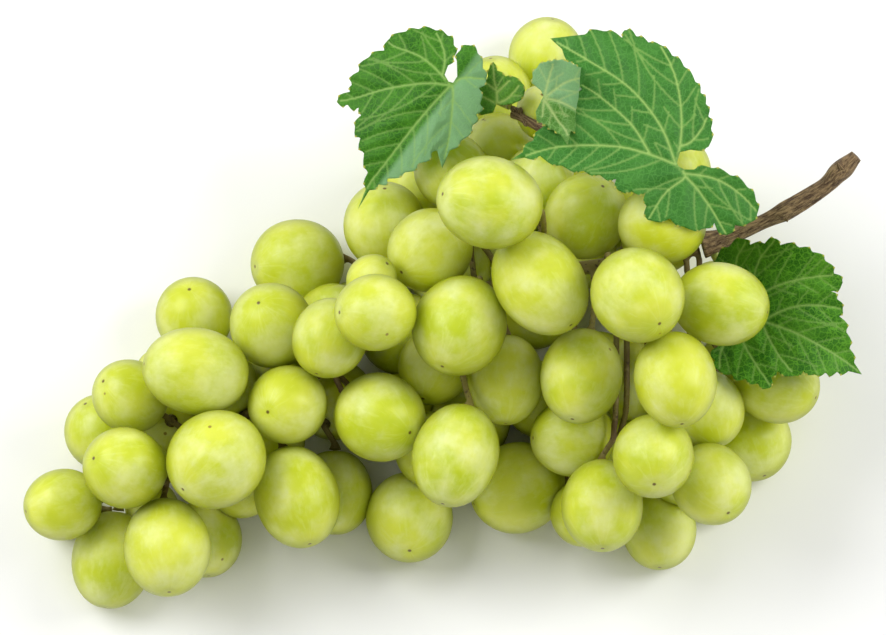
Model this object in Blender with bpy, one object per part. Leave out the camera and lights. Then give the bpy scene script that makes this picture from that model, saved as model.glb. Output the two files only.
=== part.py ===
"""A bunch of green grapes with its stem, a piece of cane and five leaves, lying on a table.

Metres, +Z up. The table is z = 0 and the origin is the middle of the footprint.

The bunch is laid out on a drawing board that slopes up from the table's front edge by BOARD_SLOPE.
A place on the board is given in millimetres as across (along +X) and up (up the slope). "Out" is the
board's own normal, upwards and a little to the front. The berries are laid one after another: each
starts at its least height above the table and rises out of the board until it clears what lies there.
"""

import heapq
import itertools
import math

import bmesh
import bpy
import numpy as np
from mathutils import Matrix, Vector

MM = 0.001
BOARD_SLOPE = math.radians(15)
GAP = 0.35

BERRY_SIDES = 10
BERRY_RINGS = 7
STEM_END_RADIUS = 3.0
TABLE_FLAT = 0.25
TABLE_REACH = 0.6
LAYING_STEP = 0.25
NEIGHBOURHOOD = 30

MAIN_STEM_RADIUS = 2.0
PEDICEL_RADIUS = 0.9
PEDICEL_CUP_RADIUS = 1.9
STEM_SIDES = 5
ROUTE_CELL = 2.5
STALK_REACH = 11.0
STALK_LEAST_COSINE = 0.3

LEAF_THICKNESS = 0.8
LEAF_RINGS = (0.12, 0.4, 0.7, 1.0)
PROBE_RINGS = (0.0, 0.2, 0.4, 0.6, 0.75, 0.9, 1.0)
PROBE_PARTS = 2
PETIOLE_RADIUS = 1.0

# Berries in the order in which they are laid, the deepest first: across, up, least height of the
# centre above the table, half width, half length, the way the blossom end points on the board
# (degrees from across towards up) and how far it leans out of the board (degrees). One leaf is laid
# between them.
BERRIES = [
    # under the bunch, on the table
    (-10, 66, 0, 9.5, 10.5, 200, -30),
    (22, 72, 0, 9.5, 10.5, 270, -30),
    (48, 74, 0, 9.5, 10.5, 320, -30),
    # crown, behind the leaves
    (25, 133, 0, 8.8, 9.8, 80, 10),
    (13, 124, 8, 8.4, 9.2, 100, 20),
    (14, 110, 14, 8.6, 9.4, 120, 20),
    (2, 105, 16, 9.0, 9.8, 120, 30),
    (-6, 102, 8, 9.0, 9.8, 150, 20),
    (23, 102, 22, 8.6, 9.4, 90, 30),
    (34, 94, 34, 10.0, 10.8, 60, 40),
    (52, 92, 26, 9.6, 10.8, 0, 25),
    # left end and tip
    (-57, 17, 0, 8.2, 9.6, 275, 15),
    (-79.5, 12, 0, 9.2, 12.0, 262, 10),
    (-91, 25, 0, 8.6, 9.6, 190, 20),
    (-82, 42, 0, 8.6, 9.4, 120, 20),
    (-75, 51, 8, 8.8, 9.6, 150, 40),
    (-60, 70, 0, 9.0, 9.8, 100, 40),
    (-35, 83, 10, 10.2, 11.4, 185, 20),
    (-66, 15, 0, 10.5, 12.2, 274, 28),
    (-76, 34, 16, 9.7, 10.5, 162, 43),
    (-59, 57, 22, 10.4, 13.0, 172, 15),
    (-41, 68, 30, 10.1, 10.9, 120, 55),
    (-54, 36, 20, 11.6, 12.4, 222, 31),
    # middle of the bunch
    (-26, 28, 0, 8.6, 10.4, 270, 10),
    (-35, 27, 0, 10.2, 12.8, 286, 23),
    (-27, 65, 14, 9.0, 9.8, 250, 20),
    (-37, 49, 28, 9.4, 10.2, 200, 60),
    (-8, 22.5, 0, 9.8, 11.2, 270, 37),
    (-2, 58, 24, 8.8, 9.6, 250, 30),
    (-15, 46, 32, 10.6, 11.5, 333, 45),
    (18, 29, 0, 10.3, 11.8, 200, 15),
    (3, 37, 22, 10.3, 12.8, 255, 20),
    (15, 55, 28, 9.2, 11.1, 270, 15),
    (-14, 92, 24, 10.0, 10.9, 90, 35),
    (-16, 71, 34, 9.1, 10.0, 180, 30),
    (-3, 86, 42, 9.9, 10.8, 218, 35),
    (4, 68, 42, 11.2, 12.4, 247, 30),
    # right shoulder
    (52, 19, 0, 8.4, 9.7, 270, 20),
    (74, 41, 0, 8.9, 10.3, 290, 20),
    (80, 54, 8, 9.6, 10.7, 340, 20),
    "leaf_right",
    (31, 41, 18, 9.4, 10.3, 180, 20),
    (63, 48, 16, 9.0, 9.8, 290, 20),
    (45, 55, 20, 9.0, 10.2, 270, 10),
    (64, 30, 6, 9.5, 10.3, 300, 40),
    (38, 25, 8, 9.8, 11.4, 270, 25),
    (50, 37, 22, 9.7, 10.5, 270, 50),
    (33, 56, 34, 9.8, 11.8, 258, 25),
    (55, 55, 32, 9.8, 11.8, 278, 25),
    (66, 73, 34, 9.9, 11.8, 350, 15),
    (23, 78, 46, 10.6, 13.8, 306, 25),
    (46, 75, 44, 11.0, 12.0, 307, 45),
    (11, 97, 46, 11.0, 13.2, 170, 30),
]

# Main stem of the bunch from the cane to the tip: across, up, height above the table.
MAIN_STEM = [
    (60.8, 86.6, 29.6),
    (50, 84, 29),
    (36, 82, 28),
    (22, 80, 27),
    (8, 76, 26),
    (-6, 70, 25),
    (-20, 62, 23),
    (-34, 54, 21),
    (-48, 46, 18),
    (-60, 37, 15),
    (-68, 29, 13),
]

# Cane: across, up, height above the table, radius.
CANE = [
    (62.2, 87.1, 29.8, 2.4),
    (67, 88.5, 30, 2.1),
    (74, 91.5, 31, 1.8),
    (82, 95.5, 32, 1.7),
    (90, 100, 34, 1.6),
    (95, 104.5, 36, 1.9),
    (99, 108.5, 38, 1.5),
]

# Twig that carries the leaves at the crown, from the cane: across, up, least height above the table.
TWIG = [(60, 92, 34), (50, 98, 40), (40, 106, 44), (30, 112, 44), (22, 116, 42), (17, 119, 40)]
TWIG_RADIUS = 1.1

# Each leaf: the point where its stalk joins the blade, and its edge from one side of the stalk's notch
# round to the other, both as across and up on the board. "fall" is how the blade drops back along
# across and along up, "curl" is how it bends back away from its middle, per millimetre, and "stalk"
# goes from the wood to the blade: across, up, least height above the table. "over" is how far the
# blade keeps from what it covers.
LEAVES = {
    "leaf_left": {
        "base": (1.5, 125.5),
        "fall": (0.15, -0.15),
        "curl": 0.006,
        "over": 3.0,
        "stalk": [(16, 120.5, 40), (9, 123.5, 38), (1.5, 125.5, 36)],
        "edge": [
            (2, 131), (2, 136), (-2, 139), (-8, 138), (-15, 134), (-20, 129), (-25.5, 121.5),
            (-21, 117), (-19, 109), (-20.5, 95.5), (-14, 101), (-6, 105), (-1.5, 109.5), (-0.5, 105.5),
            (6, 113), (9.5, 122), (9, 130), (6, 134.5), (4, 134), (3, 131),
        ],
    },
    "leaf_top": {
        "base": (55, 107),
        "fall": (-0.1, -0.2),
        "curl": 0.004,
        "over": 3.0,
        "stalk": [(60, 94, 36), (58, 100, 42), (55, 107, 46)],
        "edge": [
            (61, 110.5), (63, 117), (60, 128), (52, 134), (45, 138), (38, 138), (25, 136), (27, 127),
            (24, 117), (16, 107.5), (25, 107), (34, 103), (40, 99.5), (48, 98), (48, 92), (57, 90),
            (66, 89.5), (74.5, 94), (72, 101), (64, 105), (58, 106.5),
        ],
    },
    "leaf_right": {
        "base": (76, 69),
        "fall": (0.1, 0.05),
        "curl": 0.004,
        "over": 2.6,
        "stalk": [(65, 85, 28), (69, 78, 27), (73, 72, 26), (76, 69, 25)],
        "edge": [
            (64, 74), (66, 85), (73, 88), (79, 88), (85, 87), (92, 82), (95, 78), (93, 74), (96, 67),
            (100, 56), (91, 56), (84, 57), (78, 53), (72, 55), (65, 58), (63, 63),
        ],
    },
    "leaflet_1": {
        "base": (13, 120),
        "fall": (0.2, -0.1),
        "curl": 0.01,
        "over": 1.5,
        "stalk": [(15.5, 120.5, 42), (13, 120, 44)],
        "edge": [
            (10, 121), (9, 126), (11, 130), (14.5, 133), (16, 129), (19, 126), (19.5, 121.5), (16, 119.5),
        ],
    },
    "leaflet_2": {
        "base": (24, 122),
        "fall": (-0.1, -0.1),
        "curl": 0.006,
        "over": 1.5,
        "stalk": [(19, 119.5, 42), (20.5, 121, 60), (24, 122, 76)],
        "edge": [
            (22, 124), (21, 127), (23, 130), (31, 130), (36, 127), (38, 121), (41, 113.5), (34, 114),
            (29.5, 111), (27, 114), (23, 118),
        ],
    },
}
COLOURS = {
    "berry": (0.58, 0.66, 0.16),
    "stem": (0.34, 0.27, 0.12),
    "cane": (0.19, 0.11, 0.05),
    "leaf": (0.07, 0.23, 0.06),
}
ROUGHNESS = {"berry": 0.32, "stem": 0.7, "cane": 0.8, "leaf": 0.5}


def clear_scene():
    for old in list(bpy.data.objects):
        bpy.data.objects.remove(old, do_unlink=True)


def board_to_world(across, up, out):
    """World millimetres of a point on the drawing board."""
    y = up * math.cos(BOARD_SLOPE) - out * math.sin(BOARD_SLOPE)
    z = up * math.sin(BOARD_SLOPE) + out * math.cos(BOARD_SLOPE)
    return np.array((across, y, z))


def out_at_height(up, height):
    """How far out of the board a point lies that is this high above the table."""
    return (height - up * math.sin(BOARD_SLOPE)) / math.cos(BOARD_SLOPE)


def board_direction(turn, lean):
    """World direction that points turn degrees round the board and leans out of it."""
    flat = math.cos(math.radians(lean))
    return board_to_world(
        flat * math.cos(math.radians(turn)),
        flat * math.sin(math.radians(turn)),
        math.sin(math.radians(lean)),
    )


OUT = board_to_world(0, 0, 1)


def reach(berry, direction):
    """Distance from a berry's centre to its tangent plane across this direction."""
    along = float(np.dot(berry["axis"], direction))
    return math.sqrt((berry["length"] * along) ** 2 + berry["width"] ** 2 * (1 - along * along))


def overlap(berry, other):
    """How far a berry is inside another one or inside a ball, gap included."""
    between = berry["centre"] - other["centre"]
    distance = float(np.linalg.norm(between))
    direction = between / max(distance, 1e-6)
    return reach(berry, direction) + reach(other, direction) + GAP - distance


def ball(centre, radius):
    return {"centre": centre, "axis": np.array((0.0, 0.0, 1.0)), "width": radius, "length": radius}


def clearance(points, laid):
    """Distance from each point to the nearest thing laid."""
    nearest = np.full(len(points), 1e9)
    for other in laid:
        between = points - other["centre"]
        distance = np.maximum(np.linalg.norm(between, axis=1), 1e-6)
        along = (between @ other["axis"]) / distance
        surface = np.sqrt((other["length"] * along) ** 2 + other["width"] ** 2 * (1 - along**2))
        nearest = np.minimum(nearest, distance - surface)
    return nearest


def off_line(point, centre):
    """Distance from a point to the line that runs out of the board through the centre."""
    return np.linalg.norm(np.cross(point - centre, OUT))


def lay_berry(row, laid):
    """A berry that has come out of the board until it clears the table and everything laid."""
    across, up, height, width, length, turn, lean = row
    berry = {"axis": board_direction(turn, lean), "width": width, "length": length}
    rest_height = reach(berry, np.array((0.0, 0.0, 1.0))) - TABLE_FLAT
    out = out_at_height(up, max(height, rest_height))
    berry["centre"] = board_to_world(across, up, out)
    near = [other for other in laid if off_line(other["centre"], berry["centre"]) < NEIGHBOURHOOD]
    while any(overlap(berry, other) > 0 for other in near):
        berry["centre"] = berry["centre"] + OUT * LAYING_STEP
    berry["rests"] = berry["centre"][2] < rest_height + TABLE_REACH
    return berry


def stem_line():
    """The main stem's points in world millimetres, on a smooth curve."""
    corners = [board_to_world(a, u, out_at_height(u, h)) for a, u, h in MAIN_STEM]
    return smooth_line(corners, 4)


def smooth_line(corners, steps):
    """Points on a Catmull-Rom curve through the corners."""
    padded = [2 * corners[0] - corners[1]] + list(corners) + [2 * corners[-1] - corners[-2]]
    points = []
    for p0, p1, p2, p3 in zip(padded, padded[1:], padded[2:], padded[3:]):
        for i in range(steps):
            t = i / steps
            points.append(
                0.5
                * (
                    2 * p1
                    + (p2 - p0) * t
                    + (2 * p0 - 5 * p1 + 4 * p2 - p3) * t**2
                    + (3 * p1 - p0 - 3 * p2 + p3) * t**3
                )
            )
    points.append(np.array(corners[-1], dtype=float))
    return points


def divide_edge(edge, parts):
    """The edge with every straight stretch cut into equal parts."""
    points = []
    for (a0, u0), (a1, u1) in zip(edge, edge[1:]):
        points += [(a0 + (a1 - a0) * i / parts, u0 + (u1 - u0) * i / parts) for i in range(parts)]
    return points + [edge[-1]]


def leaf_grid(leaf, lift, shares=LEAF_RINGS, parts=1):
    """Board points of a blade, one row for each ring from its base to its edge."""
    base = leaf["base"]
    rows = []
    for share in shares:
        row = []
        for across, up in divide_edge(leaf["edge"], parts):
            a = base[0] + (across - base[0]) * share
            u = base[1] + (up - base[1]) * share
            out = lift
            out += leaf["fall"][0] * (a - base[0]) + leaf["fall"][1] * (u - base[1])
            out -= leaf["curl"] * ((a - base[0]) ** 2 + (u - base[1]) ** 2)
            row.append((a, u, out))
        rows.append(row)
    return rows


def drape_line(rows, steps, radius, laid):
    """World points of a thin stem that is bent just as far out of the board as it needs to be."""
    points = smooth_line([board_to_world(a, u, out_at_height(u, h)) for a, u, h in rows], steps)
    lifts = []
    for point in points:
        probe = ball(point, radius)
        lift = 0.0
        while any(overlap(probe, other) > 0 for other in laid):
            lift += 0.25
            probe["centre"] = probe["centre"] + OUT * 0.25
        lifts.append(lift)
    for _ in range(40):
        for i in range(1, len(lifts) - 1):
            lifts[i] = max(lifts[i], (lifts[i - 1] + lifts[i + 1]) / 2)
    return [point + OUT * lift for point, lift in zip(points, lifts)]


def lay_leaf(leaf, laid):
    """Sets how far out of the board a blade lies, clear of everything laid, and its stalk's points."""
    stalk = drape_line(leaf["stalk"], 4, PETIOLE_RADIUS, laid)
    laid += [ball(point, PETIOLE_RADIUS) for point in stalk[:-2]]
    base_row = leaf["stalk"][-1]
    lift = out_at_height(base_row[1], base_row[2])
    grid = leaf_grid(leaf, lift, PROBE_RINGS, PROBE_PARTS)
    probes = np.array([board_to_world(*place) for row in grid for place in row])
    while clearance(probes, laid).min() < leaf["over"]:
        lift += 1.0
        probes += OUT
    leaf["lift"] = lift
    leaf["stalk_points"] = stalk[:-1] + [board_to_world(*leaf["base"], lift)]
    laid += [ball(probe, LEAF_THICKNESS) for probe in probes]


def lay_everything():
    """Places every berry, stem and leaf, and returns the berries, the stems' points and all obstacles."""
    stem = stem_line()
    cane = [board_to_world(a, u, out_at_height(u, h)) for a, u, h, _ in CANE]
    cane = smooth_line(cane, 3)
    cane_radii = smooth_line([np.array((row[3],)) for row in CANE], 3)
    laid = [ball(point, MAIN_STEM_RADIUS) for point in stem]
    laid += [ball(point, float(radius[0])) for point, radius in zip(cane, cane_radii)]
    berries = []
    for row in BERRIES:
        if isinstance(row, str):
            lay_leaf(LEAVES[row], laid)
        else:
            berries.append(lay_berry(row, laid))
            laid.append(berries[-1])
    obstacles = laid[len(stem):]
    twig = drape_line(TWIG, 4, TWIG_RADIUS, laid)
    laid += [ball(point, TWIG_RADIUS) for point in twig]
    for name, leaf in LEAVES.items():
        if "lift" not in leaf:
            lay_leaf(leaf, laid)
    return berries, stem, (cane, [float(r[0]) for r in cane_radii]), twig, obstacles


def make_material(name, kind):
    material = bpy.data.materials.new(name)
    material.use_nodes = True
    shader = material.node_tree.nodes["Principled BSDF"]
    shader.inputs["Base Color"].default_value = (*COLOURS[kind], 1.0)
    shader.inputs["Roughness"].default_value = ROUGHNESS[kind]
    shader.inputs["Metallic"].default_value = 0.0
    material.diffuse_color = (*COLOURS[kind], 1.0)
    return material


def add_object(name, mesh, kind, smooth=True):
    thing = bpy.data.objects.new(name, mesh)
    bpy.context.scene.collection.objects.link(thing)
    mesh.materials.append(make_material(name, kind))
    if smooth:
        mesh.shade_smooth()
    return thing


def berry_mesh(name, width, length):
    """An ellipsoid along Z with the blossom end up and a small flat at the stem end."""
    bm = bmesh.new()
    first_angle = math.asin(STEM_END_RADIUS / width)
    rings = []
    for i in range(BERRY_RINGS):
        angle = first_angle + (math.pi - first_angle) * i / BERRY_RINGS
        ring = []
        for k in range(BERRY_SIDES):
            turn = 2 * math.pi * (k + 0.5 * (i % 2)) / BERRY_SIDES
            x = width * math.sin(angle) * math.cos(turn)
            y = width * math.sin(angle) * math.sin(turn)
            ring.append(bm.verts.new(Vector((x, y, -length * math.cos(angle))) * MM))
        rings.append(ring)
    tip = bm.verts.new((0, 0, length * MM))
    bm.faces.new(rings[0])
    for low, high in zip(rings, rings[1:]):
        for k in range(BERRY_SIDES):
            after = (k + 1) % BERRY_SIDES
            bm.faces.new((low[k], high[k], high[after], low[after]))
    for k in range(BERRY_SIDES):
        bm.faces.new((rings[-1][k], tip, rings[-1][(k + 1) % BERRY_SIDES]))
    bmesh.ops.recalc_face_normals(bm, faces=bm.faces)
    bmesh.ops.triangulate(bm, faces=bm.faces)
    mesh = bpy.data.meshes.new(name)
    bm.to_mesh(mesh)
    bm.free()
    return mesh


def rest_on_table(mesh, place):
    """Lowers a berry's placement until it presses on the table, and cuts its small contact flat."""
    bm = bmesh.new()
    bm.from_mesh(mesh)
    bm.transform(place)
    drop = min(v.co.z for v in bm.verts) + TABLE_FLAT * MM
    lowered = Matrix.Translation((0, 0, -drop))
    bm.transform(lowered)
    geometry = list(bm.verts) + list(bm.edges) + list(bm.faces)
    bmesh.ops.bisect_plane(bm, geom=geometry, plane_co=(0, 0, 0), plane_no=(0, 0, -1), clear_outer=True)
    bmesh.ops.holes_fill(bm, edges=[e for e in bm.edges if e.is_boundary])
    bmesh.ops.triangulate(bm, faces=bm.faces)
    bmesh.ops.recalc_face_normals(bm, faces=bm.faces)
    place = lowered @ place
    bm.transform(place.inverted())
    bm.to_mesh(mesh)
    bm.free()
    return place


def make_berry(number, berry):
    name = f"berry_{number:02d}"
    mesh = berry_mesh(name, berry["width"], berry["length"])
    turn = Vector((0, 0, 1)).rotation_difference(Vector(berry["axis"]))
    place = Matrix.Translation(Vector(berry["centre"]) * MM) @ turn.to_matrix().to_4x4()
    if berry["rests"]:
        place = rest_on_table(mesh, place)
    thing = add_object(name, mesh, "berry")
    thing.rotation_mode = "QUATERNION"
    thing.location = place.to_translation()
    thing.rotation_quaternion = place.to_quaternion()


def add_tube(bm, points, radii, sides):
    """A closed tube through the points, in world millimetres, with a flat cap at each end."""
    points = [Vector(p) for p in points]
    tangents = [(b - a).normalized() for a, b in zip(points, points[1:])]
    inner = [(a + b).normalized() for a, b in zip(tangents, tangents[1:])]
    tangents = [tangents[0], *inner, tangents[-1]]
    side = tangents[0].orthogonal().normalized()
    rings = []
    for point, tangent, radius in zip(points, tangents, radii):
        side = (side - tangent * side.dot(tangent)).normalized()
        other = tangent.cross(side)
        ring = []
        for k in range(sides):
            angle = 2 * math.pi * k / sides
            offset = side * math.cos(angle) + other * math.sin(angle)
            ring.append(bm.verts.new((point + offset * radius) * MM))
        rings.append(ring)
    bm.faces.new(list(reversed(rings[0])))
    bm.faces.new(rings[-1])
    for low, high in zip(rings, rings[1:]):
        for k in range(sides):
            after = (k + 1) % sides
            bm.faces.new((low[k], low[after], high[after], high[k]))


def finish_mesh(bm, name):
    bmesh.ops.triangulate(bm, faces=bm.faces)
    bmesh.ops.recalc_face_normals(bm, faces=bm.faces)
    mesh = bpy.data.meshes.new(name)
    bm.to_mesh(mesh)
    bm.free()
    return mesh


def tube_mesh(name, points, radii, sides):
    bm = bmesh.new()
    add_tube(bm, points, radii, sides)
    return finish_mesh(bm, name)


def join_to(thing, mesh, self_joining=False):
    """Joins a second mesh to a piece with a Boolean that stays on it."""
    helper = bpy.data.objects.new(thing.name + "_joined", mesh)
    bpy.context.scene.collection.objects.link(helper)
    helper.hide_render = True
    helper.display_type = "WIRE"
    helper.hide_set(True)
    union = thing.modifiers.new("Join", "BOOLEAN")
    union.operation = "UNION"
    union.solver = "EXACT"
    union.use_self = self_joining
    union.object = helper


class StemRouter:
    """Finds the shortest free ways through the bunch, outwards from the main stem."""

    def __init__(self, line, laid):
        self.laid = laid
        centres = np.array([other["centre"] for other in laid])
        self.low = centres.min(axis=0)
        self.shape = np.ceil((centres.max(axis=0) - self.low) / ROUTE_CELL).astype(int) + 1
        axes = [self.low[i] + ROUTE_CELL * np.arange(self.shape[i]) for i in range(3)]
        grid = np.stack(np.meshgrid(*axes, indexing="ij"), axis=-1).reshape(-1, 3)
        free = clearance(grid, laid) > PEDICEL_RADIUS + GAP
        free &= grid[:, 2] > PEDICEL_RADIUS + GAP
        self.grid = grid
        self.free = free
        self.parent = np.full(len(grid), -1)
        self.cost = np.full(len(grid), np.inf)
        self.root = {}
        self.spread(line)

    def spread(self, line):
        steps = [step for step in itertools.product((-1, 0, 1), repeat=3) if step != (0, 0, 0)]
        queue = []
        for point in line:
            near = np.linalg.norm(self.grid - point, axis=1)
            for cell in np.nonzero((near < 2.2 * ROUTE_CELL) & self.free)[0]:
                if near[cell] < self.cost[cell]:
                    self.cost[cell] = near[cell]
                    self.root[int(cell)] = point
                    heapq.heappush(queue, (near[cell], int(cell)))
        size_y, size_z = int(self.shape[1]), int(self.shape[2])
        while queue:
            cost, cell = heapq.heappop(queue)
            if cost > self.cost[cell]:
                continue
            x, rest = divmod(cell, size_y * size_z)
            y, z = divmod(rest, size_z)
            for i, j, k in steps:
                if not (0 <= x + i < self.shape[0] and 0 <= y + j < size_y and 0 <= z + k < size_z):
                    continue
                after = cell + (i * size_y + j) * size_z + k
                reached = cost + ROUTE_CELL * math.sqrt(i * i + j * j + k * k)
                if self.free[after] and reached < self.cost[after] - 1e-6:
                    self.cost[after] = reached
                    self.parent[after] = cell
                    self.root.pop(int(after), None)
                    heapq.heappush(queue, (reached, int(after)))

    def way_from(self, cup, outward):
        """The cell where a stalk that leaves a berry at its cup joins the free ways, or None."""
        between = self.grid - cup
        distance = np.linalg.norm(between, axis=1)
        ahead = (between @ outward) / np.maximum(distance, 1e-6)
        good = self.free & (distance < STALK_REACH) & (ahead > STALK_LEAST_COSINE)
        good &= np.isfinite(self.cost)
        order = np.nonzero(good)[0]
        for cell in order[np.argsort(self.cost[order] + 2.0 * distance[order], kind="stable")]:
            samples = cup + np.linspace(0.15, 1.0, 8)[:, None] * between[cell]
            if clearance(samples, self.laid).min() > PEDICEL_RADIUS + 0.05:
                return int(cell)
        return None


def soften(points, laid, radius, rounds=8):
    """Takes the corners out of a way where that leaves it free."""
    points = [np.array(p, dtype=float) for p in points]
    for _ in range(rounds):
        for i in range(1, len(points) - 1):
            moved = (points[i - 1] + points[i + 1] + 2 * points[i]) / 4
            between = np.array([(points[i - 1] + moved) / 2, moved, (moved + points[i + 1]) / 2])
            if clearance(between, laid).min() > radius + GAP:
                points[i] = moved
    return points


def make_bunch_stem(line, berries, laid):
    """Main stem with a side stem to the stem end of each berry, all one piece."""
    thinning = [MAIN_STEM_RADIUS * (1.0 - 0.45 * i / (len(line) - 1)) for i in range(len(line))]
    main = add_object("bunch_stem", tube_mesh("bunch_stem", line, thinning, 8), "stem")
    router = StemRouter(line, laid)
    placed = {}
    bm = bmesh.new()
    for berry in berries:
        outward = -berry["axis"]
        flat = berry["length"] * math.cos(math.asin(STEM_END_RADIUS / berry["width"]))
        start = berry["centre"] + outward * (flat + GAP)
        neck = berry["centre"] + outward * (flat + GAP + 1.6)
        cell = router.way_from(neck, outward)
        if cell is None:
            continue
        cells = []
        while cell != -1 and cell not in placed:
            cells.append(cell)
            last = cell
            cell = int(router.parent[cell])
        end = placed[cell] if cell != -1 else router.root[last]
        way = soften([neck] + [router.grid[c] for c in cells] + [end], laid, PEDICEL_RADIUS)
        for c, point in zip(cells, way[1:-1]):
            placed[c] = point
        bends = way[:1] + way[1:-1:2] + way[-1:]
        radii = [PEDICEL_CUP_RADIUS] + [PEDICEL_RADIUS] * len(bends)
        add_tube(bm, [start] + bends, radii, STEM_SIDES)
    join_to(main, finish_mesh(bm, "bunch_stem_stalks"), self_joining=True)


def leaf_mesh(name, leaf, lift):
    """A blade of even thickness: a fan of rings round the base, open at the notch."""
    bm = bmesh.new()
    centre = (leaf["base"][0], leaf["base"][1], lift)
    rows = leaf_grid(leaf, lift)
    sides = []
    for offset in (LEAF_THICKNESS / 2, -LEAF_THICKNESS / 2):
        middle = bm.verts.new(Vector(board_to_world(*centre) + OUT * offset) * MM)
        places = [[Vector(board_to_world(*place) + OUT * offset) for place in row] for row in rows]
        verts = [[bm.verts.new(place * MM) for place in row] for row in places]
        for k in range(len(verts[0]) - 1):
            bm.faces.new((middle, verts[0][k], verts[0][k + 1]))
            for low, high in zip(verts, verts[1:]):
                bm.faces.new((low[k], high[k], high[k + 1], low[k + 1]))
        rim = [middle] + [row[0] for row in verts] + verts[-1][1:]
        rim += [row[-1] for row in reversed(verts[:-1])]
        sides.append(rim)
    front, back = sides
    for k in range(len(front)):
        after = (k + 1) % len(front)
        bm.faces.new((front[k], back[k], back[after], front[after]))
    return finish_mesh(bm, name)


def make_leaf(name, leaf):
    blade = add_object(name, leaf_mesh(name, leaf, leaf["lift"]), "leaf")
    stalk = leaf["stalk_points"]
    join_to(blade, tube_mesh(name + "_stalk", stalk, [PETIOLE_RADIUS] * len(stalk), STEM_SIDES))


def centre_on_origin():
    """Moves every piece so that the middle of the footprint is the origin."""
    bpy.context.view_layer.update()
    graph = bpy.context.evaluated_depsgraph_get()
    pieces = [thing for thing in bpy.data.objects if not thing.hide_render]
    corners = []
    for thing in pieces:
        mesh = thing.evaluated_get(graph).to_mesh()
        places = [thing.matrix_world @ vertex.co for vertex in mesh.vertices]
        corners += [(min(p[i] for p in places), max(p[i] for p in places)) for i in (0, 1)]
        thing.evaluated_get(graph).to_mesh_clear()
    middle_x = (min(c[0] for c in corners[0::2]) + max(c[1] for c in corners[0::2])) / 2
    middle_y = (min(c[0] for c in corners[1::2]) + max(c[1] for c in corners[1::2])) / 2
    for thing in bpy.data.objects:
        thing.location.x -= middle_x
        thing.location.y -= middle_y


def main():
    clear_scene()
    berries, stem, (cane, cane_radii), twig, obstacles = lay_everything()
    for number, berry in enumerate(berries, start=1):
        make_berry(number, berry)
    make_bunch_stem(stem, berries, obstacles)
    add_object("cane", tube_mesh("cane", cane, cane_radii, 10), "cane")
    add_object("leaf_twig", tube_mesh("leaf_twig", twig, [TWIG_RADIUS] * len(twig), STEM_SIDES), "cane")
    for name, leaf in LEAVES.items():
        make_leaf(name, leaf)
    centre_on_origin()


main()
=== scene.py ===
"""The looks of the bunch of grapes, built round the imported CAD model. Metres, +Z up.

Berries, stems and leaves take their places from the CAD nodes. Leaf outlines, and the berries that show
but that the CAD model leaves out, are given on the drawing board of the design, in millimetres: across
(along +X) and up (up a slope of BOARD_SLOPE from the front edge), with "out" along the board's normal.
Berries that fill the inside of the bunch are placed where there is room for them.
"""

import math
import random

import bmesh
import bpy
import numpy as np
from mathutils import Matrix, Vector
from mathutils.geometry import delaunay_2d_cdt
from mathutils.kdtree import KDTree


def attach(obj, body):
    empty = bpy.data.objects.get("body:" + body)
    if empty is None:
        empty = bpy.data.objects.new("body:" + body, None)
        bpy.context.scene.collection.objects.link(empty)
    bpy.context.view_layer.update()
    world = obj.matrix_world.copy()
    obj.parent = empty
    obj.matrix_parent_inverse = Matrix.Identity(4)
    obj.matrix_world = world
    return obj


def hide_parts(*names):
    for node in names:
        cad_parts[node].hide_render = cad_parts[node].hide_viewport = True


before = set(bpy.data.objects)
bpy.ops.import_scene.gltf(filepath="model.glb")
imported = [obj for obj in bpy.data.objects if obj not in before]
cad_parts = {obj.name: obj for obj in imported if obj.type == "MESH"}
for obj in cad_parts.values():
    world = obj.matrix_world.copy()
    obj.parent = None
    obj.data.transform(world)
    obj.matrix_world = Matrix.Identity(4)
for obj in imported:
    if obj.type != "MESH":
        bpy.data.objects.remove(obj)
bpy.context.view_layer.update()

MM = 0.001
BOARD_SLOPE = math.radians(15)

# What the camera takes in, in millimetres: the width of the view, and the place on the board (across,
# up, out) that it is centred on.
VIEW_WIDTH = 210.95
VIEW_CENTRE = (0, 69.8, 30)
LENS = 500.0
SENSOR = 36.0

# More lengths in millimetres: the gap between berries, how far off a berry's neighbours are looked for,
# and how high above the table's plane the lowest skin lies.
GAP = 0.25
NEIGHBOURHOOD = 30.0
TABLE_TOP = 0.2

# How deep a stem or a leaf, and another berry, may press into an added berry.
STEM_PRESS = 1.2
BERRY_PRESS = 2.0

# An added berry lies behind each one that it overlaps by more than this in the view, and its middle is
# at least this share of its half width above the table, which presses it flat.
VIEW_OVERLAP = 2.8
TABLE_SHARE = 0.75

# This berry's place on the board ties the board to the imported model.
ANCHOR_BERRY = "berry_36"
ANCHOR_PLACE = (-3, 86)
STEM_END_RADIUS = 3.0

ACROSS = Vector((1, 0, 0))
UP = Vector((0, math.cos(BOARD_SLOPE), math.sin(BOARD_SLOPE)))
OUT = Vector((0, -math.sin(BOARD_SLOPE), math.cos(BOARD_SLOPE)))

# Faces round a berry, and from end to end.
SIDES = 56
RINGS = 36

# Berries that show only as slivers between the others: across, up, half width, half length.
SLIVERS = [
    (-48, 29, 9.2, 10.2),
    (33, 22.5, 8.4, 9.6),
    (24, 119, 9.0, 10.0),
    (31, 106, 8.4, 9.4),
    (-17, 79, 8.0, 9.0),
    (-42, 41, 8.6, 9.6),
    (-66, 44, 8.0, 9.0),
    (70, 60, 8.6, 9.6),
    (56.5, 105, 7.8, 8.6),
]


# --------------------------------------------------------------------------- where the berries are


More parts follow.
